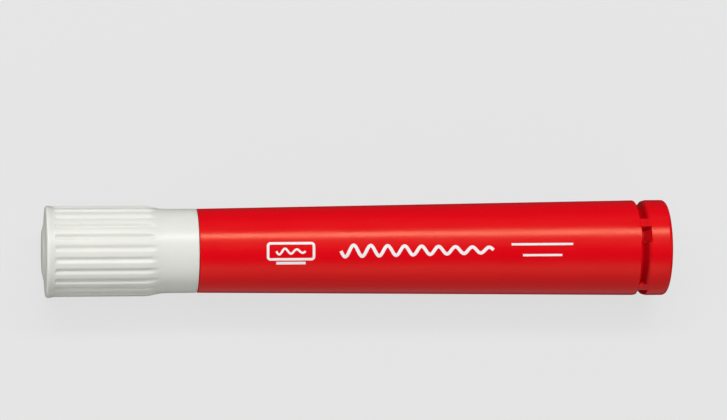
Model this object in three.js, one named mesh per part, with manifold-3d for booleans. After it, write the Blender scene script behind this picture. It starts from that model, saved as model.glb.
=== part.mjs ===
// Refillable whiteboard marker: ribbed push-on cap, bullet nib, tapered barrel, pull-out tail plug.
// Millimetres, +Z up. The marker lies on its side along X, with its cap at -X, on the plane Z = 0.
// Inside this file a place along the marker is a station: the distance from the cap's end face.
// An angle around the marker is 0 towards -Y and 90 degrees towards +Z.

import * as THREE from 'three';
import { mergeVertices } from 'three/addons/utils/BufferGeometryUtils.js';
import Module from 'manifold-3d';

// Overall
const overallLength = 138;
const plugRadius = 10.55;
const clearance = 0.3;

// Cap
const capLength = 33.75;
const capBossRadius = 4.7;
const capFlankRadius = 6.3;
const capFlankHeight = 0.45;
const capCrownHeight = 0.76;
const capRimRadius = 10.05;
const capRimEnd = 2.55;
const capGripRadius = 9.87;
const capGripEnd = 23.2;
const capSleeveStart = 25.8;
const capSleeveRadius = 9.22;
const capMouthRadius = 9.18;
const capMouthBore = 8.15;
const capEndBore = 7.75;
const capEndThickness = 2.2;
const gripGrooves = 24;
const gripGrooveAngle = 5.3;
const gripGrooveWidth = 0.9;
const gripGrooveDepth = 0.4;
const gripGrooveRunOut = 1.6;

// Inner seal of the cap
const sealRadius = 7.25;
const sealFlangeRadius = 7.6;
const sealBore = 6.4;
const sealWall = 1;
const sealMouth = 24.7;
const sealHeadroom = 0.5;

// Nib
const nibTip = 10;
const nibRadius = 2.4;
const nibTipLength = 3.4;
const nibTail = 51.5;
const nibTailLength = 4;
const nibTailRadius = 0.8;

// Nib holder
const holderFront = 16.5;
const holderFrontRadius = 3.6;
const holderNeckStart = 20.5;
const holderNeckRadius = 6;
const holderCollarStart = 25.2;
const holderCollarRadius = 7.6;
const holderBeadStation = 30.5;
const holderBeadRadius = 7.8;
const holderSkirtRadius = 7.2;
const holderSkirtBore = 6.1;
const holderWebEnd = 36;
const holderEnd = 43;
const holderBore = 2.75;

// Barrel
const barrelFront = capLength + clearance;
const barrelFrontRadius = 9.2;
const barrelRearRadius = 10.5;
const barrelShoulder = 130.7;
const barrelEnd = 131.6;
const barrelEndRadius = 9.1;
const barrelFrontBore = 7.6;
const barrelRearBore = 8.5;
const plugSeatStart = 119.5;
const plugSeatBore = 8.65;
const plugSeatLead = 1;
const centringRibs = 4;
const centringRibRadius = 7.5;
const centringRibWidth = 1;
const centringRibStart = 47;

// Ink reservoir
const reservoirStart = 44;
const reservoirEnd = 119.5;
const wrapRadius = 7.15;
const wrapBore = 6.9;
const fibreRadius = 6.55;
const fibrePocketDepth = 8;

// Tail plug
const plugSpigotStart = 120;
const plugSpigotRadius = 8.15;
const plugBore = 6.2;
const plugBoreEnd = 136.3;
const plugFlangeStart = barrelEnd + clearance;
const plugGrooveRadius = 9.1;
const plugShoulder = 132.6;
const plugEdgeFillet = 0.92;
const ringGrooveStart = 125;
const ringGrooveFloor = 7.05;
const ringSection = 0.5;
const ringRadius = 7.85;

// The four places round the groove between barrel and plug where the plug is keyed
const keyCount = 4;
const landAngle = 17.8;
const landWidth = 2;
const landRadius = 10.45;
const pryNotchAngle = 3.3;
const pryNotchWidth = 3.1;
const pryNotchFloor = 9.15;
const pryNotchEnd = 133;
const webAngle = -7.2;
const webWidth = 0.45;
const webRadius = 9.55;

// How far a cutter reaches past the surface it cuts, and a bar into the wall it joins
const overcut = 1;
const bite = 0.4;

// Facets
const outerSides = 24;
const barrelSides = 48;
const innerSides = 32;
const nibSides = 24;
const filletSteps = 4;

const white = { color: 0xe4e4de, roughness: 0.45, metalness: 0 };
const natural = { color: 0xeeede6, roughness: 0.4, metalness: 0 };
const red = { color: 0xd60c18, roughness: 0.22, metalness: 0 };
const redFelt = { color: 0xa8101c, roughness: 0.95, metalness: 0 };
const clearFilm = { color: 0xf2dcdc, roughness: 0.25, metalness: 0 };
const rubber = { color: 0x26262a, roughness: 0.8, metalness: 0 };

const wasm = await Module();
wasm.setup();

function radians(degrees) {
  return THREE.MathUtils.degToRad(degrees);
}

// Points of a circular arc in the station-radius plane, 0 degrees towards the tail.
function arc(station, radius, size, fromDegrees, toDegrees, steps) {
  const points = [];
  for (let step = 0; step <= steps; step += 1) {
    const angle = radians(fromDegrees + ((toDegrees - fromDegrees) * step) / steps);
    points.push([station + size * Math.cos(angle), radius + size * Math.sin(angle)]);
  }
  return points;
}

// A body of revolution about X. Its facets touch the stated radii, and four of them face Y and Z.
function turned(profile, sides) {
  const cornerFactor = 1 / Math.cos(Math.PI / sides);
  const points = profile.map(([station, radius]) => new THREE.Vector2(radius * cornerFactor, station));
  const geometry = new THREE.LatheGeometry(points, sides, Math.PI / sides);
  geometry.rotateZ(-Math.PI / 2);
  return geometry;
}

// An outline in the station-radius plane, made into a bar of the given width at an angle around X.
function bar(outline, width, angleDegrees) {
  const shape = new THREE.Shape(outline.map(([station, radius]) => new THREE.Vector2(station, radius)));
  const geometry = new THREE.ExtrudeGeometry(shape, { depth: width, bevelEnabled: false });
  geometry.translate(0, 0, -width / 2);
  geometry.rotateX(Math.PI - radians(angleDegrees));
  return geometry;
}

// The same bar repeated evenly around the marker.
function barsAround(outline, width, firstDegrees, count) {
  const bars = [];
  for (let index = 0; index < count; index += 1) {
    bars.push(bar(outline, width, firstDegrees + (360 * index) / count));
  }
  return bars;
}

function solidOf(geometry) {
  const bare = geometry.clone();
  bare.deleteAttribute('normal');
  bare.deleteAttribute('uv');
  const merged = mergeVertices(bare, 1e-5);
  const corners = Array.from(merged.index.array);
  const kept = [];
  for (let first = 0; first < corners.length; first += 3) {
    const [a, b, c] = corners.slice(first, first + 3);
    if (a !== b && b !== c && c !== a) kept.push(a, b, c);
  }
  return new wasm.Manifold(new wasm.Mesh({
    numProp: 3,
    vertProperties: new Float32Array(merged.attributes.position.array),
    triVerts: new Uint32Array(kept),
  }));
}

function geometryOf(solid) {
  const { vertProperties, triVerts } = solid.getMesh();
  const geometry = new THREE.BufferGeometry();
  geometry.setAttribute('position', new THREE.BufferAttribute(vertProperties, 3));
  geometry.setIndex(new THREE.BufferAttribute(triVerts, 1));
  geometry.computeVertexNormals();
  return geometry;
}

function withAdded(solid, geometries) {
  return geometries.reduce((total, geometry) => total.add(solidOf(geometry)), solid);
}

function withCut(solid, geometries) {
  return geometries.reduce((total, geometry) => total.subtract(solidOf(geometry)), solid);
}

function capShell() {
  const rimCorner = 0.3;
  const rimFlat = 0.5;
  const mouthFillet = 0.15;
  const profile = [
    [0, 0],
    [0, capBossRadius],
    [capFlankHeight, capFlankRadius],
    [capCrownHeight, capRimRadius - rimCorner],
    [capCrownHeight + rimCorner, capRimRadius],
    [capCrownHeight + rimCorner + rimFlat, capRimRadius],
    [capRimEnd - rimCorner, capGripRadius],
    [capGripEnd, capGripRadius],
    [capSleeveStart, capSleeveRadius],
    [capLength - mouthFillet, capMouthRadius],
    [capLength, capMouthRadius - mouthFillet],
    [capLength, capMouthBore],
    [capEndThickness, capEndBore],
    [capEndThickness, 0],
  ];
  const grooveFloor = capGripRadius - gripGrooveDepth;
  const grooveOutline = [
    [capRimEnd, grooveFloor],
    [capGripEnd, grooveFloor],
    [capGripEnd + gripGrooveRunOut, capGripRadius],
    [capGripEnd + gripGrooveRunOut, capGripRadius + overcut],
    [capRimEnd, capGripRadius + overcut],
  ];
  const grooves = barsAround(grooveOutline, gripGrooveWidth, gripGrooveAngle, gripGrooves);
  return geometryOf(withCut(solidOf(turned(profile, outerSides)), grooves));
}

function capInnerSeal() {
  const closedEnd = capEndThickness + sealHeadroom;
  return turned([
    [closedEnd, 0],
    [closedEnd, sealRadius],
    [sealMouth - 2 * sealWall, sealRadius],
    [sealMouth - sealWall, sealFlangeRadius],
    [sealMouth, sealFlangeRadius],
    [sealMouth, sealBore],
    [closedEnd + sealWall, sealBore],
    [closedEnd + sealWall, 0],
  ], innerSides);
}

function nib() {
  const tipSteps = 7;
  const profile = [];
  for (let step = 0; step <= tipSteps; step += 1) {
    const angle = radians((90 * step) / tipSteps);
    profile.push([nibTip + nibTipLength * (1 - Math.cos(angle)), nibRadius * Math.sin(angle)]);
  }
  profile.push([nibTail - nibTailLength, nibRadius], [nibTail, nibTailRadius], [nibTail, 0]);
  return turned(profile, nibSides);
}

function nibHolder() {
  const lead = 0.5;
  return turned([
    [holderFront, holderBore],
    [holderFront, holderFrontRadius],
    [holderNeckStart, holderNeckRadius],
    [holderCollarStart, holderNeckRadius],
    [holderCollarStart + lead, holderCollarRadius],
    [holderBeadStation - lead, holderCollarRadius],
    [holderBeadStation, holderBeadRadius],
    [holderBeadStation + lead, holderCollarRadius],
    [barrelFront - clearance, holderCollarRadius],
    [barrelFront - clearance, holderSkirtRadius],
    [holderEnd - lead, holderSkirtRadius],
    [holderEnd, holderSkirtRadius - lead],
    [holderEnd, holderSkirtBore],
    [holderWebEnd, holderSkirtBore],
    [holderWebEnd, holderBore],
    [holderFront, holderBore],
  ], innerSides);
}

function barrel() {
  const edge = 0.15;
  const shoulderRounding = 0.35;
  const profile = [
    [barrelFront, barrelFrontBore],
    [barrelFront, barrelFrontRadius - edge],
    [barrelFront + edge, barrelFrontRadius],
    [barrelShoulder - shoulderRounding, barrelRearRadius],
    [barrelShoulder, barrelRearRadius - edge],
    [barrelEnd, barrelEndRadius],
    [barrelEnd, plugSeatBore],
    [plugSeatStart, plugSeatBore],
    [plugSeatStart - plugSeatLead, barrelRearBore],
    [barrelFront, barrelFrontBore],
  ];
  const ribOutline = [
    [centringRibStart, centringRibRadius],
    [plugSeatStart - plugSeatLead, centringRibRadius],
    [plugSeatStart - plugSeatLead, barrelRearBore + bite],
    [centringRibStart, barrelFrontBore + 2 * bite],
  ];
  const notchOutline = [
    [barrelShoulder, pryNotchFloor],
    [barrelEnd + overcut, pryNotchFloor],
    [barrelEnd + overcut, plugRadius + overcut],
    [barrelShoulder, plugRadius + overcut],
  ];
  const ribs = barsAround(ribOutline, centringRibWidth, 0, centringRibs);
  const notches = barsAround(notchOutline, pryNotchWidth, pryNotchAngle, keyCount);
  return geometryOf(withCut(withAdded(solidOf(turned(profile, barrelSides)), ribs), notches));
}

function reservoirWrap() {
  return turned([
    [reservoirStart, wrapBore],
    [reservoirStart, wrapRadius],
    [reservoirEnd, wrapRadius],
    [reservoirEnd, wrapBore],
    [reservoirStart, wrapBore],
  ], innerSides);
}

function reservoirFibre() {
  return turned([
    [reservoirStart + fibrePocketDepth, 0],
    [reservoirStart + fibrePocketDepth, holderBore],
    [reservoirStart, holderBore],
    [reservoirStart, fibreRadius],
    [reservoirEnd, fibreRadius],
    [reservoirEnd, 0],
  ], nibSides);
}

// What bridges the groove is a bar whose front follows the barrel's sloping shoulder at a distance.
function bridgeOutline(topRadius) {
  const slopeGap = 0.45;
  const rise = (topRadius - barrelEndRadius) / (barrelRearRadius - barrelEndRadius);
  return [
    [plugFlangeStart + bite / 4, plugGrooveRadius - bite],
    [plugFlangeStart + bite / 4, barrelEndRadius],
    [barrelEnd + slopeGap - rise * (barrelEnd - barrelShoulder), topRadius],
    [plugShoulder + bite, topRadius],
    [plugShoulder + bite, plugGrooveRadius - bite],
  ];
}

function tailPlug() {
  const lead = 0.4;
  const ringGrooveEnd = ringGrooveStart + 2 * (ringSection + clearance);
  const filletStation = overallLength - plugEdgeFillet;
  const filletRadius = plugRadius - plugEdgeFillet;
  const profile = [
    [plugSpigotStart, plugBore],
    [plugSpigotStart, plugSpigotRadius - lead],
    [plugSpigotStart + lead, plugSpigotRadius],
    [ringGrooveStart, plugSpigotRadius],
    [ringGrooveStart, ringGrooveFloor],
    [ringGrooveEnd, ringGrooveFloor],
    [ringGrooveEnd, plugSpigotRadius],
    [plugFlangeStart, plugSpigotRadius],
    [plugFlangeStart, plugGrooveRadius],
    [plugShoulder - lead / 2, plugRadius - lead / 2],
    [plugShoulder + lead / 2, plugRadius],
    ...arc(filletStation, filletRadius, plugEdgeFillet, 90, 0, filletSteps),
    [overallLength, 0],
    [plugBoreEnd, 0],
    [plugBoreEnd, plugBore],
    [plugSpigotStart, plugBore],
  ];
  const notchOutline = [
    [plugFlangeStart - overcut, pryNotchFloor],
    [pryNotchEnd, pryNotchFloor],
    [pryNotchEnd, plugRadius + overcut],
    [plugFlangeStart - overcut, plugRadius + overcut],
  ];
  const lands = barsAround(bridgeOutline(landRadius), landWidth, landAngle, keyCount);
  const webs = barsAround(bridgeOutline(webRadius), webWidth, webAngle, keyCount);
  const notches = barsAround(notchOutline, pryNotchWidth, pryNotchAngle, keyCount);
  const body = withCut(solidOf(turned(profile, outerSides)), notches);
  return geometryOf(withAdded(body, [...lands, ...webs]));
}

function tailSealRing() {
  const sectionSteps = 10;
  const centre = ringGrooveStart + clearance + ringSection;
  const section = arc(centre, ringRadius, ringSection, 180, -180, sectionSteps);
  section[sectionSteps] = section[0];
  return turned(section, outerSides);
}

const marker = new THREE.Group();
marker.position.set(-overallLength / 2, 0, plugRadius);

function addPart(name, geometry, finish) {
  const mesh = new THREE.Mesh(geometry, new THREE.MeshStandardMaterial(finish));
  mesh.name = name;
  marker.add(mesh);
}

addPart('cap_shell', capShell(), white);
addPart('cap_inner_seal', capInnerSeal(), natural);
addPart('nib', nib(), redFelt);
addPart('nib_holder', nibHolder(), natural);
addPart('barrel', barrel(), red);
addPart('reservoir_wrap', reservoirWrap(), clearFilm);
addPart('reservoir_fibre', reservoirFibre(), redFelt);
addPart('tail_plug', tailPlug(), red);
addPart('tail_seal_ring', tailSealRing(), rubber);

const model = new THREE.Group();
model.add(marker);

export default model;
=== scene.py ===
"""Looks of a refillable whiteboard marker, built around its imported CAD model.

A place on the marker is a station, the distance from the cap's end face, a radius, and an angle round the
axis, 0 towards -Y and 90 degrees towards +Z. Stations and radii are in millimetres, and place() turns them
into metres in the frame.
"""

import math

import bmesh
import bpy
from mathutils import Matrix, Vector, noise


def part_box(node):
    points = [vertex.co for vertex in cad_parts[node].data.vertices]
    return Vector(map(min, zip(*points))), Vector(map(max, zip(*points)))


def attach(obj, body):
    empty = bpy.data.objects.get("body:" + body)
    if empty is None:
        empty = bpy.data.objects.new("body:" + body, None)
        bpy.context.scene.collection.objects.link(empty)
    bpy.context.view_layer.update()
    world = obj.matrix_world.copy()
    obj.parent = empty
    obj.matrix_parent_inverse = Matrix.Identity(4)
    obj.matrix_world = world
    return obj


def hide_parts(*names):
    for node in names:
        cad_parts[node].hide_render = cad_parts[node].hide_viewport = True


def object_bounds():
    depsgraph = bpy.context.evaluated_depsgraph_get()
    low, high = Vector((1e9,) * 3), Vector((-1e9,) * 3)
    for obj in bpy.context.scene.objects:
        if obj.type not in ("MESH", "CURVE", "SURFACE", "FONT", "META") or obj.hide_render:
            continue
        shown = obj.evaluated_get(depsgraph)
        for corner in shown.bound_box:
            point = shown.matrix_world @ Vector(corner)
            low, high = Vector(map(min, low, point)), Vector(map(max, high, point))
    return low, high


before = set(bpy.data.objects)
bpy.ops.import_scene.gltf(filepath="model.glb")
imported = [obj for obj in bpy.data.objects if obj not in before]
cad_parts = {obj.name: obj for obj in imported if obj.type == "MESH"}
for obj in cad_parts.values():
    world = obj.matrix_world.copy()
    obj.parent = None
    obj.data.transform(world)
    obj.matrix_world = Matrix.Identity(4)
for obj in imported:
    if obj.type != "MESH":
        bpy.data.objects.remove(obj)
cad_low, cad_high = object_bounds()

MM = 0.001
CENTRE = (cad_low + cad_high) / 2


def station_range(node):
    """First and last station of a CAD node."""
    low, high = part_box(node)
    return (low.x - cad_low.x) / MM, (high.x - cad_low.x) / MM


def widest(node):
    """Largest radius of a CAD node."""
    low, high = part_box(node)
    return (high.y - low.y) / 2 / MM


# Where the CAD pieces are
CAP_LENGTH = station_range("cap_shell")[1]
CAP_RIM_RADIUS = widest("cap_shell")
SEAL_START, SEAL_MOUTH = station_range("cap_inner_seal")
NIB_TIP, NIB_TAIL = station_range("nib")
HOLDER_FRONT, HOLDER_END = station_range("nib_holder")
BARREL_FRONT, BARREL_END = station_range("barrel")
RESERVOIR_START, RESERVOIR_END = station_range("reservoir_wrap")
PLUG_START, PLUG_END = station_range("tail_plug")
PLUG_RADIUS = widest("tail_plug")
RING_STATION = sum(station_range("tail_seal_ring")) / 2

# Cap
CAP_DISC_RADIUS = 4.7
CAP_DISC_HEIGHT = 0.76
CAP_FLANK_RADIUS = 6.3
CAP_FLANK_STATION = 0.45
CAP_RIM_END = 1.7
GRIP_RADIUS = 9.86
GRIP_END = 22.9
SLEEVE_START = 26.0
SLEEVE_RADIUS = 9.2
CAP_FLOOR = 2.2
CAP_BORE_FLOOR = 7.75
CAP_BORE_MOUTH = 8.15

# Grip ribs of the cap. A groove's floor and edge are shares of a rib's pitch from the groove's middle
RIBS = 24
RIB_ANGLE = 4.9
RIB_START = 2.55
RIB_END = 22.6
RIB_RUN_IN = 0.14
RIB_RUN_OUT = 2.4
RIB_DEPTH = 0.44
RIB_CROWNING = 0.12
RIB_GROOVE_FLOOR = 0.03
RIB_GROOVE_EDGE = 0.31

# Cup that closes round the nib holder
SEAL_RADIUS = 7.2
SEAL_LIP_RADIUS = 7.6
SEAL_BORE = 6.4
SEAL_FLOOR = 1.0

# Nib and its holder
NIB_RADIUS = 2.4
NIB_POINT = 3.4
NIB_FIBRE_DEPTH = 0.03
NIB_FIBRES_ROUND = 6
NIB_FIBRES_ALONG = 0.12
HOLDER_BORE = 2.5
HOLDER_TIP_RADIUS = 3.5
HOLDER_CONE_END = 20.5
HOLDER_NECK_RADIUS = 6.0
HOLDER_SHOULDER = 25.2
HOLDER_PLUG_RADIUS = 7.6
HOLDER_BEAD_RADIUS = 7.8
HOLDER_BEAD_STATION = 30.5
HOLDER_CHAMBER = 6.1
HOLDER_WEB_END = 36

# Barrel. Its end faces stand past the CAD's by an overhang, closer to their neighbours
BARREL_FRONT_RADIUS = 9.2
BARREL_REAR_RADIUS = 10.5
BARREL_SHOULDER = BARREL_END - 0.8
BARREL_BORE_FRONT = 7.6
BARREL_BORE_REAR = 8.5
BARREL_OVERHANG = 0.18
PLUG_SEAT_RADIUS = 8.65
PLUG_SEAT_START = 119.5

# Reservoir
FILM_RADIUS = 7.15
FILM_BORE = 6.9
BUNDLE_RADIUS = 6.6
BUNDLE_BORE = 2.7
BUNDLE_BORE_DEPTH = 8

# Tail plug and its ring
SPIGOT_RADIUS = 8.15
PLUG_BORE = 6.2
PLUG_END_WALL = 1.7
PLUG_FILLET = 0.92
RING_GROOVE_RADIUS = 7.1
RING_GROOVE_HALF = 0.75
RING_RADIUS = 7.85
RING_SECTION = 0.6

# The V-groove between barrel and plug, and its four keyed places, with angles in degrees
GROOVE_RADIUS = 9.0
PLUG_SHOULDER = BARREL_END + 1.1
NOTCH_START = BARREL_END - 0.55
NOTCH_END = BARREL_END + 1.67
NOTCH_FLOOR = 8.8
KEYS = 4
LAND_ANGLE = 17.8
LAND_HALF = 5.6
NOTCH_ANGLE = 3.3
NOTCH_HALF = 8.6
WEB_ANGLE = -7.0
WEB_HALF = 0.9
KEY_EDGE = 0.4

# Painted shade in that groove, standing for the shadow in the deep groove: it darkens the red, sets in and
# fades out between stations, and stops below the outer surface
GROOVE_SHADE_START = BARREL_END - 0.05
GROOVE_SHADE_FULL_FROM = BARREL_END + 0.45
GROOVE_SHADE_FULL_TO = BARREL_END + 0.9
GROOVE_SHADE_END = BARREL_END + 2.2
GROOVE_SHADE_FULL_RADIUS = BARREL_REAR_RADIUS - 0.22
GROOVE_SHADE_END_RADIUS = BARREL_REAR_RADIUS + 0.06

# Printed mark: the angle of its line round the barrel in degrees, how far its ribbon stands out of the barrel
# and reaches into it, and the stations of its parts, with millimetres across from the line
PRINT_ANGLE = 74.2
PRINT_HEIGHT = 0.03
BOARD_ENDS = (48.6, 58.6)
BOARD_HALF_HEIGHT = 1.75
BOARD_CORNER = 0.55
TRAY_ENDS = (50.4, 56.8)
TRAY_ACROSS = 2.6
SAMPLE_ENDS = (64.5, 98.0)
LONG_BAR_ENDS = (102.0, 115.6)
SHORT_BAR_ENDS = (104.5, 113.2)
BAR_ACROSS = 1.2
WAVE_DECAY = 0.55

# Fineness of the meshes: faces round a piece, steps of a rounded corner and of curves, longest segments in
# millimetres, and the angle in degrees from which an edge is sharp
INNER_FACES = 128
NIB_FACES = 144
MOUTH_FACES = 160
OUTER_FACES = 256
FACES_PER_RIB = 20
CORNER_STEPS = 5
NIB_STEPS = 12
FILLET_STEPS = 8
RING_STEPS = 20
PRINT_CORNER_STEPS = 6
WAVE_STEPS = 26
GRIP_SEGMENT = 0.8
NIB_SEGMENT = 1.5
LINE_SEGMENT = 0.8
BOX_SEGMENT = 0.4
CREASE_ANGLE = 35

# Camera, in degrees and metres
VIEW_ELEVATION = 75.8
VIEW_YAW = 7.17
VIEW_ROLL = 0.41
VIEW_DISTANCE = 0.8466
AIM_STATION = 70.64
AIM_RISE = 0.00871
LENS_MM = 190.5
SENSOR_MM = 36.0
CLIP_START = 0.05
CLIP_END = 20

# Lamps: angle round the marker in degrees, length and width in metres, and watts
KEY_ANGLE, KEY_SIZE, KEY_POWER = 115.5, (1.2, 0.16), 6.0
BROAD_ANGLE, BROAD_SIZE, BROAD_POWER = 102, (2.2, 0.9), 7.4
FRONT_ANGLE, FRONT_SIZE, FRONT_POWER = 22, (2.0, 0.6), 5.6
BACK_ANGLE, BACK_SIZE, BACK_POWER = 150, (2.0, 0.6), 3.0
END_REACH, END_RISE, END_SIZE, END_POWER = 0.98, 0.2, (0.7, 0.7), 8.5
KEY_DISTANCE = 1.0
KEY_SHIFT = 0.1
LAMP_DISTANCE = 1.3

# Surroundings: the light from below the view, from its edge to its middle, and the pale floor
FILL_ANGLE = -15
FILL_EDGE, FILL_MIDDLE = 0.44, 0.64
FILL_DIM, FILL_BRIGHT = 0.04, 0.30
FLOOR_TONE = 0.79
FLOOR_GLOW = 0.69
FLOOR_ALBEDO = 0.09
FLOOR_REACH = 4.0


# Where most values of a noise texture lie
NOISE_LOW, NOISE_HIGH = 0.3, 0.7


def place(station, radius, angle):
    """The point in the frame, in metres, at a station, radius and angle (radians) of the marker."""
    return Vector((
        cad_low.x + station * MM,
        CENTRE.y - radius * MM * math.cos(angle),
        CENTRE.z + radius * MM * math.sin(angle),
    ))


# ---------------------------------------------------------------- mesh tools

def rounded(corners):
    """An outline through (station, radius, reach) corners, each rounded over its reach to both sides, or over
    just under half of a shorter side."""
    most = 0.49
    points = []
    for index, (station, radius, reach) in enumerate(corners):
        here = Vector((station, radius))
        if reach == 0:
            points.append(here)
            continue
        before = Vector(corners[index - 1][:2]) - here
        after = Vector(corners[(index + 1) % len(corners)][:2]) - here
        first = here + before.normalized() * min(reach, before.length * most)
        last = here + after.normalized() * min(reach, after.length * most)
        for step in range(CORNER_STEPS + 1):
            t = step / CORNER_STEPS
            points.append(first * (1 - t) ** 2 + here * 2 * t * (1 - t) + last * t ** 2)
    return [(p.x, p.y) for p in points]


def divided(outline, first, last, longest):
    """The outline with its segments between two stations cut into pieces no longer than longest."""
    points = [outline[0]]
    for (s0, r0), (s1, r1) in zip(outline, outline[1:]):
        inside = first <= min(s0, s1) + 1e-6 and max(s0, s1) <= last + 1e-6
        pieces = max(1, math.ceil(abs(s1 - s0) / longest)) if inside else 1
        for piece in range(1, pieces + 1):
            t = piece / pieces
            points.append((s0 + (s1 - s0) * t, r0 + (r1 - r0) * t))
    return points


def mixed(first, second, share):
    """Two outlines of as many points, mixed."""
    return [(s0 + (s1 - s0) * share, r0 + (r1 - r0) * share) for (s0, r0), (s1, r1) in zip(first, second)]


def even_angles(count):
    return [math.tau * index / count for index in range(count)]


def revolved(outline_at, angles):
    """A closed bmesh of revolution. outline_at(angle) has as many (station, radius) points at every angle."""
    shape = bmesh.new()
    rings = [[shape.verts.new(place(s, r, angle)) for s, r in outline_at(angle)] for angle in angles]
    closes_on_itself = outline_at(0.0)[0][1] > 0
    count = len(rings[0])
    for ring, following in zip(rings, rings[1:] + rings[:1]):
        for index in range(count if closes_on_itself else count - 1):
            after = (index + 1) % count
            shape.faces.new((ring[index], following[index], following[after], ring[after]))
    bmesh.ops.remove_doubles(shape, verts=shape.verts, dist=1e-7)
    return shape


def round_shape(outline, faces):
    """A closed bmesh of revolution with the same outline all round."""
    return revolved(lambda angle: outline, even_angles(faces))


def finish_piece(name, shape, material, body, replaced=None):
    """Makes a shown piece from a bmesh: smooth shaded, with its material, riding on its body."""
    bmesh.ops.recalc_face_normals(shape, faces=shape.faces)
    mesh = bpy.data.meshes.new(name)
    shape.to_mesh(mesh)
    shape.free()
    for polygon in mesh.polygons:
        polygon.use_smooth = True
    mesh.set_sharp_from_angle(angle=math.radians(CREASE_ANGLE))
    mesh.materials.append(material)
    piece = bpy.data.objects.new(name, mesh)
    bpy.context.scene.collection.objects.link(piece)
    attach(piece, body)
    if replaced:
        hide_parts(replaced)


def smoothstep(value, low, high):
    t = min(1.0, max(0.0, (value - low) / (high - low)))
    return t * t * (3 - 2 * t)


# ---------------------------------------------------------------- materials

def map_range(tree, value, from_low, from_high, to_low, to_high):
    """A node output that takes value from one range to another, and stays within it."""
    node = tree.nodes.new("ShaderNodeMapRange")
    node.inputs["From Min"].default_value = from_low
    node.inputs["From Max"].default_value = from_high
    node.inputs["To Min"].default_value = to_low
    node.inputs["To Max"].default_value = to_high
    tree.links.new(value, node.inputs["Value"])
    return node.outputs["Result"]


class Shader:
    """A Principled material under construction, with short calls for its procedural inputs."""

    def __init__(self, name, **constants):
        self.material = bpy.data.materials.new(name)
        self.material.use_nodes = True
        self.tree = self.material.node_tree
        self.nodes = self.tree.nodes
        self.links = self.tree.links
        self.surface = self.nodes["Principled BSDF"]
        for socket, value in constants.items():
            self.surface.inputs[socket.replace("_", " ")].default_value = value
        self.coordinates = self.nodes.new("ShaderNodeTexCoord").outputs["Object"]

    def noise(self, scale, stretch=(1, 1, 1), detail=2.0, roughness=0.5, distortion=0.0):
        """Noise with scale features a metre, drawn out along an axis where stretch is below 1."""
        mapping = self.nodes.new("ShaderNodeMapping")
        mapping.inputs["Scale"].default_value = stretch
        self.links.new(self.coordinates, mapping.inputs["Vector"])
        texture = self.nodes.new("ShaderNodeTexNoise")
        texture.inputs["Scale"].default_value = scale
        texture.inputs["Detail"].default_value = detail
        texture.inputs["Roughness"].default_value = roughness
        texture.inputs["Distortion"].default_value = distortion
        self.links.new(mapping.outputs["Vector"], texture.inputs["Vector"])
        return texture.outputs["Fac"]

    def ranged(self, value, from_low, from_high, to_low, to_high):
        return map_range(self.tree, value, from_low, from_high, to_low, to_high)

    def spread(self, texture, low, high):
        """A noise texture's usual values spread from low to high."""
        return self.ranged(texture, NOISE_LOW, NOISE_HIGH, low, high)

    def combined(self, first, second, operation="ADD"):
        node = self.nodes.new("ShaderNodeMath")
        node.operation = operation
        for socket, value in zip(node.inputs, (first, second)):
            if isinstance(value, (int, float)):
                socket.default_value = value
            else:
                self.links.new(value, socket)
        return node.outputs["Value"]

    def blend(self, factor, first, second):
        """A mix of two colours, each a linear (r, g, b) or another node's output."""
        node = self.nodes.new("ShaderNodeMix")
        node.data_type = "RGBA"
        self.links.new(factor, node.inputs["Factor"])
        for side, colour in (("A", first), ("B", second)):
            socket = next(i for i in node.inputs if i.name == side and i.type == "RGBA")
            if isinstance(colour, tuple):
                socket.default_value = (*colour, 1)
            else:
                self.links.new(colour, socket)
        return next(o for o in node.outputs if o.type == "RGBA")

    def colour(self, factor, first, second):
        self.links.new(self.blend(factor, first, second), self.surface.inputs["Base Color"])

    def rough(self, texture, low, high):
        self.links.new(self.spread(texture, low, high), self.surface.inputs["Roughness"])

    def bump(self, height, distance_mm, strength, under=None):
        """Bumps of a height texture, on top of the bumps under it."""
        node = self.nodes.new("ShaderNodeBump")
        node.inputs["Distance"].default_value = distance_mm * MM
        node.inputs["Strength"].default_value = strength
        self.links.new(height, node.inputs["Height"])
        if under is not None:
            self.links.new(under, node.inputs["Normal"])
        self.links.new(node.outputs["Normal"], self.surface.inputs["Normal"])
        return node.outputs["Normal"]


def groove_painted_shade(s):
    """Share of painted shade on the plastic: 1 deep in the groove between barrel and plug, 0 away from it."""
    parts = s.nodes.new("ShaderNodeSeparateXYZ")
    s.links.new(s.coordinates, parts.inputs["Vector"])
    height = s.combined(parts.outputs["Z"], -CENTRE.z)
    squares = [s.combined(side, side, "MULTIPLY") for side in (parts.outputs["Y"], height)]
    radius = s.combined(s.combined(*squares), 0.5, "POWER")
    below_surface = s.ranged(radius, GROOVE_SHADE_FULL_RADIUS * MM, GROOVE_SHADE_END_RADIUS * MM, 1, 0)
    start, full_from, full_to, end = (
        place(station, 0, 0).x for station in (GROOVE_SHADE_START, GROOVE_SHADE_FULL_FROM, GROOVE_SHADE_FULL_TO, GROOVE_SHADE_END)
    )
    setting_in = s.ranged(parts.outputs["X"], start, full_from, 0, 1)
    fading_out = s.ranged(parts.outputs["X"], full_to, end, 1, 0)
    return s.combined(below_surface, s.combined(setting_in, fading_out, "MINIMUM"), "MULTIPLY")


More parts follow.
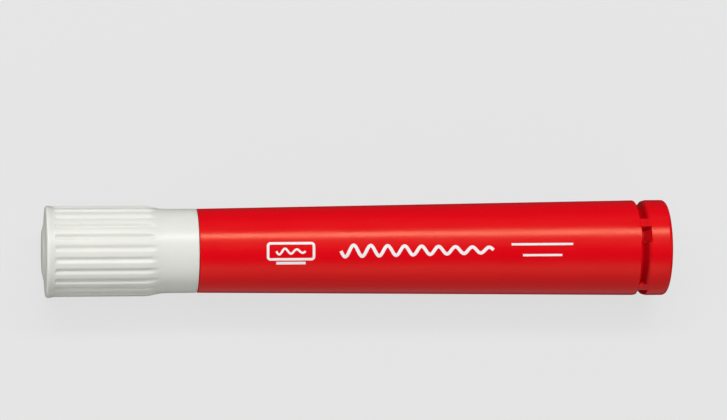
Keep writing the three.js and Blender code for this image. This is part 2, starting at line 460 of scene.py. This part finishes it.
def barrel_plastic():
    """Glossy red polypropylene: faint flow streaks along the barrel, a very fine skin, and shade painted dark
    into the groove before the tail plug, where the groove lies in shadow."""
    s = Shader("red_polypropylene", IOR=1.49, Specular_Tint=(1.0, 0.68, 0.40, 1.0))
    streaks = s.noise(900, stretch=(0.04, 1, 1), detail=3)
    clouds = s.noise(70, detail=2)
    unshaded_red = s.blend(s.combined(streaks, clouds, "MULTIPLY"), (0.72, 0.0008, 0.0068), (0.80, 0.0014, 0.0092))
    # Painted shade: the red turns dark red deep in the groove between barrel and plug.
    s.colour(groove_painted_shade(s), unshaded_red, (0.42, 0.0010, 0.0050))
    s.rough(s.noise(260, stretch=(0.3, 1, 1), detail=4), 0.20, 0.27)
    skin = s.bump(s.noise(2600, detail=2), 0.004, 0.5)
    s.bump(streaks, 0.006, 0.4, under=skin)
    return s.material


def cap_plastic():
    """Off-white satin polypropylene, slightly translucent, a little paler in clouds."""
    s = Shader("off_white_polypropylene", IOR=1.49, Subsurface_Weight=0.06, Subsurface_Scale=0.0008)
    s.surface.inputs["Subsurface Radius"].default_value = (1.0, 0.9, 0.7)
    s.colour(s.noise(120, detail=3), (0.765, 0.765, 0.715), (0.80, 0.80, 0.755))
    s.rough(s.noise(500, detail=4), 0.28, 0.35)
    skin = s.bump(s.noise(4200, detail=2), 0.004, 0.5)
    s.bump(s.noise(700, stretch=(0.1, 1, 1), detail=2), 0.004, 0.3, under=skin)
    return s.material


def natural_plastic():
    """Uncoloured milky polypropylene."""
    s = Shader("natural_polypropylene", IOR=1.49, Subsurface_Weight=0.35, Subsurface_Scale=0.002)
    s.surface.inputs["Subsurface Radius"].default_value = (1.0, 0.85, 0.65)
    s.colour(s.noise(160, detail=3), (0.74, 0.73, 0.66), (0.82, 0.81, 0.75))
    s.rough(s.noise(600, detail=3), 0.28, 0.42)
    s.bump(s.noise(3800, detail=2), 0.006, 0.6)
    return s.material


def printed_ink():
    """Opaque white pad-printed ink with the faint texture of the pad."""
    s = Shader("white_print", IOR=1.47)
    s.colour(s.noise(1500, detail=3), (0.80, 0.80, 0.80), (0.90, 0.90, 0.89))
    s.rough(s.noise(900, detail=2), 0.36, 0.5)
    s.bump(s.noise(5200, detail=3), 0.003, 0.5)
    return s.material


def ink_soaked_fibre(name, dark, light, along):
    """Parallel fibre soaked in ink. The smaller along is, the longer the fibres look."""
    s = Shader(name, IOR=1.4, Sheen_Weight=0.25, Sheen_Roughness=0.5)
    fibres = s.noise(5200, stretch=(along, 1, 1), detail=3, roughness=0.6)
    s.colour(s.spread(fibres, 0, 1), dark, light)
    s.rough(fibres, 0.75, 0.95)
    s.bump(fibres, 0.03, 0.9)
    return s.material


def film():
    """Thin clear film round the reservoir, tinted by the fibre behind it."""
    s = Shader("reservoir_film", IOR=1.5, Transmission_Weight=0.55)
    wrinkles = s.noise(260, stretch=(0.25, 1, 1), detail=3, distortion=0.6)
    s.colour(wrinkles, (0.86, 0.60, 0.58), (0.93, 0.76, 0.74))
    s.rough(wrinkles, 0.12, 0.28)
    s.bump(wrinkles, 0.05, 0.7)
    return s.material


def seal_rubber():
    s = Shader("black_rubber", IOR=1.52)
    s.colour(s.noise(900, detail=3), (0.018, 0.018, 0.020), (0.034, 0.034, 0.036))
    s.rough(s.noise(2400, detail=2), 0.5, 0.68)
    s.bump(s.noise(5200, detail=2), 0.01, 0.6)
    return s.material


# ---------------------------------------------------------------- cap

def rib_drop(angle):
    """How far the grip lies below the ribs' crowns at an angle, from 0 on a crown to 1 in a groove."""
    from_groove = abs(((math.degrees(angle) - RIB_ANGLE) * RIBS / 360 + 0.5) % 1.0 - 0.5)
    crowning = RIB_CROWNING * (1 - 2 * from_groove) ** 2
    return crowning + (1 - RIB_CROWNING) * (1 - smoothstep(from_groove, RIB_GROOVE_FLOOR, RIB_GROOVE_EDGE))


def cap_shell(material):
    rim = CAP_RIM_RADIUS - 0.02
    outline = rounded([
        (0, 0, 0),
        (0, CAP_DISC_RADIUS, 0.25),
        (CAP_FLANK_STATION, CAP_FLANK_RADIUS, 0.8),
        (CAP_DISC_HEIGHT, rim, 0.6),
        (CAP_RIM_END, rim, 0.3),
        (RIB_START - 0.25, GRIP_RADIUS, 0.15),
        (RIB_START, GRIP_RADIUS, 0),
        (RIB_START + RIB_RUN_IN, GRIP_RADIUS, 0),
        (GRIP_END, GRIP_RADIUS + 0.01, 0.9),
        (SLEEVE_START, SLEEVE_RADIUS + 0.01, 0.9),
        (CAP_LENGTH, SLEEVE_RADIUS - 0.02, 0.22),
        (CAP_LENGTH, CAP_BORE_MOUTH, 0.2),
        (CAP_FLOOR, CAP_BORE_FLOOR, 0.6),
        (CAP_FLOOR, 0, 0),
    ])
    outer_end = max(range(len(outline)), key=lambda index: outline[index][0])
    outer = divided(outline[:outer_end], RIB_START, RIB_END + RIB_RUN_OUT + 1, GRIP_SEGMENT)
    inner = outline[outer_end:]

    def outline_at(angle):
        drop = RIB_DEPTH * rib_drop(angle)
        ribbed = []
        for station, radius in outer:
            start = smoothstep(station, RIB_START - 0.02, RIB_START + RIB_RUN_IN)
            end = 1 - smoothstep(station, RIB_END, RIB_END + RIB_RUN_OUT)
            ribbed.append((station, radius - drop * start * end))
        return ribbed + inner

    shape = revolved(outline_at, even_angles(RIBS * FACES_PER_RIB))
    finish_piece("cap", shape, material, "cap", "cap_shell")


def cap_inner_seal(material):
    outline = rounded([
        (SEAL_START, 0, 0),
        (SEAL_START, SEAL_RADIUS, 0.4),
        (SEAL_MOUTH - 2.0, SEAL_RADIUS, 0.2),
        (SEAL_MOUTH - 1.2, SEAL_LIP_RADIUS, 0.2),
        (SEAL_MOUTH, SEAL_LIP_RADIUS, 0.2),
        (SEAL_MOUTH, SEAL_BORE, 0.3),
        (SEAL_START + SEAL_FLOOR, SEAL_BORE, 0.5),
        (SEAL_START + SEAL_FLOOR, 0, 0),
    ])
    shape = round_shape(outline, INNER_FACES)
    finish_piece("inner_seal", shape, material, "cap_liner", "cap_inner_seal")


# ---------------------------------------------------------------- writing end

def nib(material):
    outline = []
    for step in range(NIB_STEPS + 1):
        angle = math.pi / 2 * step / NIB_STEPS
        outline.append((NIB_TIP + NIB_POINT * (1 - math.cos(angle)), NIB_RADIUS * math.sin(angle)))
    outline += rounded([(NIB_TAIL - 4, NIB_RADIUS, 0.4), (NIB_TAIL, 0.8, 0.2), (NIB_TAIL, 0, 0)])
    outline = divided(outline, NIB_TIP, NIB_TAIL, NIB_SEGMENT)

    def outline_at(angle):
        """The nib's outline, roughened by fibres that run along it."""
        points = []
        for station, radius in outline:
            around = (math.cos(angle) * NIB_FIBRES_ROUND, math.sin(angle) * NIB_FIBRES_ROUND)
            where = Vector((station * NIB_FIBRES_ALONG, *around))
            depth = NIB_FIBRE_DEPTH * min(1, radius) * (0.5 + 0.5 * noise.noise(where))
            points.append((station, radius - depth))
        return points

    shape = revolved(outline_at, even_angles(NIB_FACES))
    finish_piece("nib_felt", shape, material, "barrel", "nib")


def nib_holder(material):
    outline = rounded([
        (HOLDER_FRONT, HOLDER_BORE, 0.15),
        (HOLDER_FRONT, HOLDER_TIP_RADIUS, 0.35),
        (HOLDER_CONE_END, HOLDER_NECK_RADIUS - 0.1, 0.5),
        (HOLDER_CONE_END + 0.7, HOLDER_NECK_RADIUS, 0.4),
        (HOLDER_SHOULDER, HOLDER_NECK_RADIUS, 0.25),
        (HOLDER_SHOULDER + 0.5, HOLDER_PLUG_RADIUS - 0.05, 0.3),
        (HOLDER_BEAD_STATION - 0.7, HOLDER_PLUG_RADIUS, 0.3),
        (HOLDER_BEAD_STATION, HOLDER_BEAD_RADIUS, 0.5),
        (HOLDER_BEAD_STATION + 0.7, HOLDER_PLUG_RADIUS, 0.3),
        (BARREL_FRONT - 0.3, HOLDER_PLUG_RADIUS, 0.08),
        (BARREL_FRONT - 0.3, HOLDER_PLUG_RADIUS - 0.4, 0.08),
        (HOLDER_END, HOLDER_PLUG_RADIUS - 0.5, 0.4),
        (HOLDER_END, HOLDER_CHAMBER, 0.2),
        (HOLDER_WEB_END, HOLDER_CHAMBER, 0.4),
        (HOLDER_WEB_END, HOLDER_BORE, 0.2),
    ])
    shape = round_shape(outline, MOUTH_FACES)
    finish_piece("nib_holder_body", shape, material, "barrel", "nib_holder")


# ---------------------------------------------------------------- barrel and tail

def key_share(angle, centre, half_width):
    """1 inside one of the four repeats of an angular band, 0 outside it, with a short ramp at each edge."""
    pitch = 360 / KEYS
    off = abs((math.degrees(angle) - centre + pitch / 2) % pitch - pitch / 2)
    return min(1.0, max(0.0, (half_width - off) / KEY_EDGE + 0.5))


def key_angles(bands):
    """Evenly spaced angles with extra ones at both ends and the middle of every ramp of the bands."""
    angles = set(even_angles(OUTER_FACES))
    for centre, half_width in bands:
        for key in range(KEYS):
            for side in (-1, 1):
                for ramp in (-KEY_EDGE / 2, 0, KEY_EDGE / 2):
                    degrees = centre + key * 360 / KEYS + side * (half_width + ramp)
                    angles.add(math.radians(degrees % 360))
    ordered = sorted(angles)
    return [a for a, b in zip(ordered, ordered[1:] + [math.tau]) if b - a > 1e-4]


def barrel(material):
    front = BARREL_FRONT - BARREL_OVERHANG
    end = BARREL_END + BARREL_OVERHANG
    body = rounded([
        (PLUG_SEAT_START, PLUG_SEAT_RADIUS, 0.2),
        (PLUG_SEAT_START - 1, BARREL_BORE_REAR, 0.2),
        (front, BARREL_BORE_FRONT, 0.25),
        (front, BARREL_FRONT_RADIUS, 0.15),
        (BARREL_SHOULDER - 0.9, BARREL_REAR_RADIUS, 0),
    ])
    plain = rounded([
        (BARREL_SHOULDER - 0.4, BARREL_REAR_RADIUS, 0),
        (BARREL_SHOULDER + 0.05, BARREL_REAR_RADIUS, 0.25),
        ((BARREL_SHOULDER + end) / 2, (BARREL_REAR_RADIUS + GROOVE_RADIUS) / 2, 0.02),
        (end, GROOVE_RADIUS, 0.05),
        (end, PLUG_SEAT_RADIUS, 0.1),
    ])
    notched = rounded([
        (BARREL_SHOULDER - 0.4, BARREL_REAR_RADIUS, 0),
        (NOTCH_START, BARREL_REAR_RADIUS, 0.07),
        (NOTCH_START + 0.04, NOTCH_FLOOR + 0.8, 0.06),
        (end, NOTCH_FLOOR, 0.05),
        (end, PLUG_SEAT_RADIUS, 0.1),
    ])

    def outline_at(angle):
        return body + mixed(plain, notched, key_share(angle, NOTCH_ANGLE, NOTCH_HALF))

    shape = revolved(outline_at, key_angles([(NOTCH_ANGLE, NOTCH_HALF)]))
    finish_piece("barrel_body", shape, material, "barrel", "barrel")


def plug_front():
    """The plug's outline from its hollow middle to the spigot behind the ring's groove."""
    return rounded([
        (PLUG_END - PLUG_END_WALL, 0, 0),
        (PLUG_END - PLUG_END_WALL, PLUG_BORE, 0.6),
        (PLUG_START, PLUG_BORE, 0.2),
        (PLUG_START, SPIGOT_RADIUS - 0.05, 0.5),
        (RING_STATION - RING_GROOVE_HALF, SPIGOT_RADIUS, 0.1),
        (RING_STATION - RING_GROOVE_HALF, RING_GROOVE_RADIUS, 0.15),
        (RING_STATION + RING_GROOVE_HALF, RING_GROOVE_RADIUS, 0.15),
        (RING_STATION + RING_GROOVE_HALF, SPIGOT_RADIUS, 0.1),
    ])


def plug_rear():
    """The plug's rounded edge and flat end."""
    turns = [math.pi / 2 * step / FILLET_STEPS for step in range(FILLET_STEPS + 1)]
    return [
        (PLUG_END + PLUG_FILLET * (math.sin(t) - 1), PLUG_RADIUS + PLUG_FILLET * (math.cos(t) - 1))
        for t in turns
    ] + [(PLUG_END, 0)]


def plug_edges():
    """Four outlines of the plug's edge at the V-groove: plain, at a land, at a notch, and at a web."""
    flange = BARREL_END + 0.22
    root = (flange, SPIGOT_RADIUS + 0.05, 0.05)
    shoulder = (PLUG_SHOULDER + 0.85, PLUG_RADIUS - 0.02, 0.3)
    full = (NOTCH_END + 0.6, PLUG_RADIUS, 0)
    plain = rounded([
        root,
        (flange, GROOVE_RADIUS, 0.05),
        (flange + 0.4, GROOVE_RADIUS + 0.58, 0.02),
        (PLUG_SHOULDER - 0.05, PLUG_RADIUS - 0.27, 0.3),
        shoulder,
        full,
    ])
    land = rounded([
        root,
        (flange, GROOVE_RADIUS + 0.05, 0.02),
        (BARREL_SHOULDER + 0.08, BARREL_REAR_RADIUS - 0.05, 0.04),
        (flange, BARREL_REAR_RADIUS - 0.03, 0.02),
        (PLUG_SHOULDER + 0.85, BARREL_REAR_RADIUS, 0.02),
        full,
    ])
    notched = rounded([
        root,
        (flange, NOTCH_FLOOR, 0.02),
        (flange + 0.7, NOTCH_FLOOR + 0.42, 0.02),
        (NOTCH_END - 0.04, NOTCH_FLOOR + 0.9, 0.06),
        (NOTCH_END, PLUG_RADIUS - 0.02, 0.07),
        full,
    ])
    web = rounded([
        root,
        (flange, GROOVE_RADIUS + 0.02, 0.02),
        (flange - 0.3, GROOVE_RADIUS + 0.5, 0.05),
        (flange + 0.3, GROOVE_RADIUS + 0.56, 0.03),
        shoulder,
        full,
    ])
    return plain, land, notched, web


def tail_plug(material):
    front = plug_front()
    rear = plug_rear()
    plain, land, notched, web = plug_edges()

    def outline_at(angle):
        keyed = mixed(plain, land, key_share(angle, LAND_ANGLE, LAND_HALF))
        keyed = mixed(keyed, notched, key_share(angle, NOTCH_ANGLE, NOTCH_HALF))
        keyed = mixed(keyed, web, key_share(angle, WEB_ANGLE, WEB_HALF))
        return front + keyed + rear

    bands = [(LAND_ANGLE, LAND_HALF), (NOTCH_ANGLE, NOTCH_HALF), (WEB_ANGLE, WEB_HALF)]
    shape = revolved(outline_at, key_angles(bands))
    finish_piece("tail_plug_body", shape, material, "tail_plug", "tail_plug")


def tail_seal_ring(material):
    section = [
        (RING_STATION + RING_SECTION * math.cos(turn), RING_RADIUS + RING_SECTION * math.sin(turn))
        for turn in even_angles(RING_STEPS)
    ]
    shape = round_shape(section, MOUTH_FACES)
    finish_piece("seal_ring", shape, material, "tail_plug", "tail_seal_ring")


def reservoir_film(material):
    outline = [
        (RESERVOIR_START, FILM_BORE),
        (RESERVOIR_START, FILM_RADIUS),
        (RESERVOIR_END, FILM_RADIUS),
        (RESERVOIR_END, FILM_BORE),
    ]
    shape = round_shape(outline, INNER_FACES)
    finish_piece("reservoir_film", shape, material, "barrel", "reservoir_wrap")


def reservoir_bundle(material):
    end = RESERVOIR_END - 0.3
    outline = rounded([
        (RESERVOIR_START + BUNDLE_BORE_DEPTH, 0, 0),
        (RESERVOIR_START + BUNDLE_BORE_DEPTH, BUNDLE_BORE, 0.3),
        (RESERVOIR_START, BUNDLE_BORE, 0.3),
        (RESERVOIR_START, BUNDLE_RADIUS, 0.4),
        (end, BUNDLE_RADIUS, 0.4),
        (end, 0, 0),
    ])
    shape = round_shape(outline, INNER_FACES)
    finish_piece("reservoir_bundle", shape, material, "barrel", "reservoir_fibre")


# ---------------------------------------------------------------- printed mark

def barrel_radius(station):
    share = (station - BARREL_FRONT) / (BARREL_SHOULDER - BARREL_FRONT)
    return BARREL_FRONT_RADIUS + (BARREL_REAR_RADIUS - BARREL_FRONT_RADIUS) * share


def on_barrel(along, across, height):
    """A point of the print: along is a station, and across is millimetres round the barrel from its line."""
    radius = barrel_radius(along)
    return place(along, radius + height, math.radians(PRINT_ANGLE) - across / radius)


def stroke(shape, path, width, closed=False):
    """Adds a raised ribbon of ink that follows a path of (along, across) points."""
    lanes = 4
    points = [Vector(p) for p in path]
    rows = []
    for index, point in enumerate(points):
        before = points[index - 1] if closed or index else point
        after = points[(index + 1) % len(points)] if closed or index < len(points) - 1 else point
        heading = (after - before).normalized()
        normal = Vector((-heading.y, heading.x))
        spots = [point + normal * width * (lane / lanes - 0.5) for lane in range(lanes + 1)]
        rows.append((
            [shape.verts.new(on_barrel(p.x, p.y, PRINT_HEIGHT)) for p in spots],
            [shape.verts.new(on_barrel(p.x, p.y, -PRINT_HEIGHT)) for p in spots],
        ))
    pairs = list(zip(rows, rows[1:]))
    if closed:
        pairs.append((rows[-1], rows[0]))
    for (top, bottom), (next_top, next_bottom) in pairs:
        for lane in range(lanes):
            shape.faces.new((top[lane], next_top[lane], next_top[lane + 1], top[lane + 1]))
            shape.faces.new((bottom[lane + 1], next_bottom[lane + 1], next_bottom[lane], bottom[lane]))
        for edge in (0, lanes):
            shape.faces.new((top[edge], bottom[edge], next_bottom[edge], next_top[edge]))
    if not closed:
        for top, bottom in (rows[0], rows[-1]):
            shape.faces.new(top + bottom[::-1])


def rounded_box(ends, half_height, corner):
    """The centre line of a frame with round corners, in pieces short enough to follow the barrel's curve."""
    left, right = ends[0] + corner, ends[1] - corner
    top, bottom = half_height - corner, corner - half_height
    points = []
    for along, across, start in ((right, top, 0), (left, top, 90), (left, bottom, 180), (right, bottom, 270)):
        for step in range(PRINT_CORNER_STEPS + 1):
            angle = math.radians(start + 90 * step / PRINT_CORNER_STEPS)
            points.append(Vector((along + corner * math.cos(angle), across + corner * math.sin(angle))))
    path = []
    for point, following in zip(points, points[1:] + points[:1]):
        pieces = max(1, math.ceil((following - point).length / BOX_SEGMENT))
        path += [point.lerp(following, piece / pieces) for piece in range(pieces)]
    return path


def line(ends, across):
    start, end = ends
    count = math.ceil((end - start) / LINE_SEGMENT)
    return [(start + (end - start) * index / count, across) for index in range(count + 1)]


def wave(ends, height, periods):
    """A hand-drawn looking wavy line whose swings die out towards its end."""
    start, end = ends
    count = int(periods * WAVE_STEPS)
    points = []
    for index in range(count + 1):
        share = index / count
        swing = height * (1 - WAVE_DECAY * share) * math.sin(math.tau * periods * share)
        points.append((start + (end - start) * share, swing))
    return points


def printed_mark(material):
    """A board with a tray and a wavy stroke on it, a long wavy sample line and two bars. No lettering."""
    shape = bmesh.new()
    stroke(shape, rounded_box(BOARD_ENDS, BOARD_HALF_HEIGHT, BOARD_CORNER), width=0.55, closed=True)
    stroke(shape, line(TRAY_ENDS, TRAY_ACROSS), width=0.6)
    stroke(shape, wave(TRAY_ENDS, height=0.7, periods=2.5), width=0.45)
    stroke(shape, wave(SAMPLE_ENDS, height=1.3, periods=9), width=0.72)
    stroke(shape, line(LONG_BAR_ENDS, -BAR_ACROSS), width=0.5)
    stroke(shape, line(SHORT_BAR_ENDS, BAR_ACROSS), width=0.5)
    finish_piece("printed_mark", shape, material, "barrel")


# ---------------------------------------------------------------- studio

def direction(angle):
    """Unit vector across the marker at an angle in degrees, 0 towards -Y and 90 towards +Z."""
    return Vector((0, -math.cos(math.radians(angle)), math.sin(math.radians(angle))))


def level_with(away):
    """Unit vector across away, as close to the marker's axis as can be."""
    return (Vector((1, 0, 0)) - away * away.x).normalized()


def turn(thing, right, up, back):
    """Turns a camera or lamp, which looks along its own -Z, to three unit axes."""
    thing.rotation_mode = "QUATERNION"
    thing.rotation_quaternion = Matrix([right, up, back]).transposed().to_quaternion()


def camera():
    """A long lens above the marker, standing a little towards its cap."""
    aim = place(AIM_STATION, 0, 0)
    yaw = math.radians(VIEW_YAW)
    back = Vector((-math.sin(yaw), 0, 0)) + direction(VIEW_ELEVATION) * math.cos(yaw)
    level = level_with(back)
    roll = math.radians(VIEW_ROLL)
    up = back.cross(level) * math.cos(roll) + level * math.sin(roll)
    data = bpy.data.cameras.new("camera")
    data.sensor_width = SENSOR_MM
    data.lens = LENS_MM
    data.clip_start = CLIP_START
    data.clip_end = CLIP_END
    view = bpy.data.objects.new("camera", data)
    bpy.context.scene.collection.objects.link(view)
    view.location = aim + back * VIEW_DISTANCE
    forward = (aim + up * AIM_RISE - view.location).normalized()
    right = forward.cross(up).normalized()
    turn(view, right, right.cross(forward), -forward)
    bpy.context.scene.camera = view


def lamp(name, away, size, power, distance=LAMP_DISTANCE, shift=0.0, mirrored=False):
    """A soft panel that faces the marker from a distance, shifted along X. Unless it is mirrored, it lights
    the marker and hardly shows in its gloss."""
    data = bpy.data.lights.new(name, "AREA")
    data.shape = "RECTANGLE"
    data.size, data.size_y = size
    data.energy = power
    panel = bpy.data.objects.new(name, data)
    bpy.context.scene.collection.objects.link(panel)
    panel.location = CENTRE + away * distance + Vector((shift, 0, 0))
    side = level_with(away)
    turn(panel, side, away.cross(side), away)
    panel.visible_glossy = mirrored


def studio_lamps():
    lamp("key", direction(KEY_ANGLE), KEY_SIZE, KEY_POWER, KEY_DISTANCE, KEY_SHIFT, mirrored=True)
    lamp("broad", direction(BROAD_ANGLE), BROAD_SIZE, BROAD_POWER)
    lamp("front", direction(FRONT_ANGLE), FRONT_SIZE, FRONT_POWER)
    lamp("back", direction(BACK_ANGLE), BACK_SIZE, BACK_POWER)
    lamp("cap end", Vector((-END_REACH, 0, END_RISE)), END_SIZE, END_POWER)
    lamp("tail end", Vector((END_REACH, 0, END_RISE)), END_SIZE, END_POWER / 3)


def studio_world():
    """Dim surroundings, brighter on the side below the view, and an even pale tone where the camera looks."""
    world = bpy.data.worlds.new("studio")
    bpy.context.scene.world = world
    world.use_nodes = True
    tree = world.node_tree
    background = tree.nodes["Background"]
    background.inputs["Color"].default_value = (1, 1, 1, 1)
    facing = tree.nodes.new("ShaderNodeVectorMath")
    facing.operation = "DOT_PRODUCT"
    facing.inputs[1].default_value = direction(FILL_ANGLE)
    tree.links.new(tree.nodes.new("ShaderNodeTexCoord").outputs["Generated"], facing.inputs[0])
    fill = map_range(tree, facing.outputs["Value"], FILL_EDGE, FILL_MIDDLE, FILL_DIM, FILL_BRIGHT)
    seen = tree.nodes.new("ShaderNodeMix")
    seen.inputs["B"].default_value = FLOOR_TONE
    tree.links.new(tree.nodes.new("ShaderNodeLightPath").outputs["Is Camera Ray"], seen.inputs["Factor"])
    tree.links.new(fill, seen.inputs["A"])
    tree.links.new(seen.outputs["Result"], background.inputs["Strength"])


def studio_floor():
    """A plain pale sheet that glows, so that shadows on it stay faint. It neither lights the marker nor shows
    in its gloss."""
    mesh = bpy.data.meshes.new("floor")
    signs = ((-1, -1), (1, -1), (1, 1), (-1, 1))
    corners = [(x * FLOOR_REACH, y * FLOOR_REACH, cad_low.z) for x, y in signs]
    mesh.from_pydata(corners, [], [(0, 1, 2, 3)])
    floor = bpy.data.objects.new("floor", mesh)
    bpy.context.scene.collection.objects.link(floor)
    material = bpy.data.materials.new("floor")
    material.use_nodes = True
    surface = material.node_tree.nodes["Principled BSDF"]
    surface.inputs["Base Color"].default_value = (FLOOR_ALBEDO, FLOOR_ALBEDO, FLOOR_ALBEDO, 1)
    surface.inputs["Roughness"].default_value = 1
    surface.inputs["Specular IOR Level"].default_value = 0
    surface.inputs["Emission Color"].default_value = (1, 1, 1, 1)
    surface.inputs["Emission Strength"].default_value = FLOOR_GLOW
    mesh.materials.append(material)
    floor.visible_glossy = False
    floor.visible_diffuse = False


camera()
studio_world()
studio_floor()
studio_lamps()
bpy.context.scene.view_settings.view_transform = "Standard"

red = barrel_plastic()
milky = natural_plastic()
cap_shell(cap_plastic())
cap_inner_seal(milky)
nib(ink_soaked_fibre("nib_fibre", (0.16, 0.004, 0.010), (0.42, 0.012, 0.022), 0.03))
nib_holder(milky)
barrel(red)
tail_plug(red)
tail_seal_ring(seal_rubber())
reservoir_film(film())
reservoir_bundle(ink_soaked_fibre("bundle_fibre", (0.22, 0.006, 0.012), (0.50, 0.02, 0.03), 0.01))
printed_mark(printed_ink())
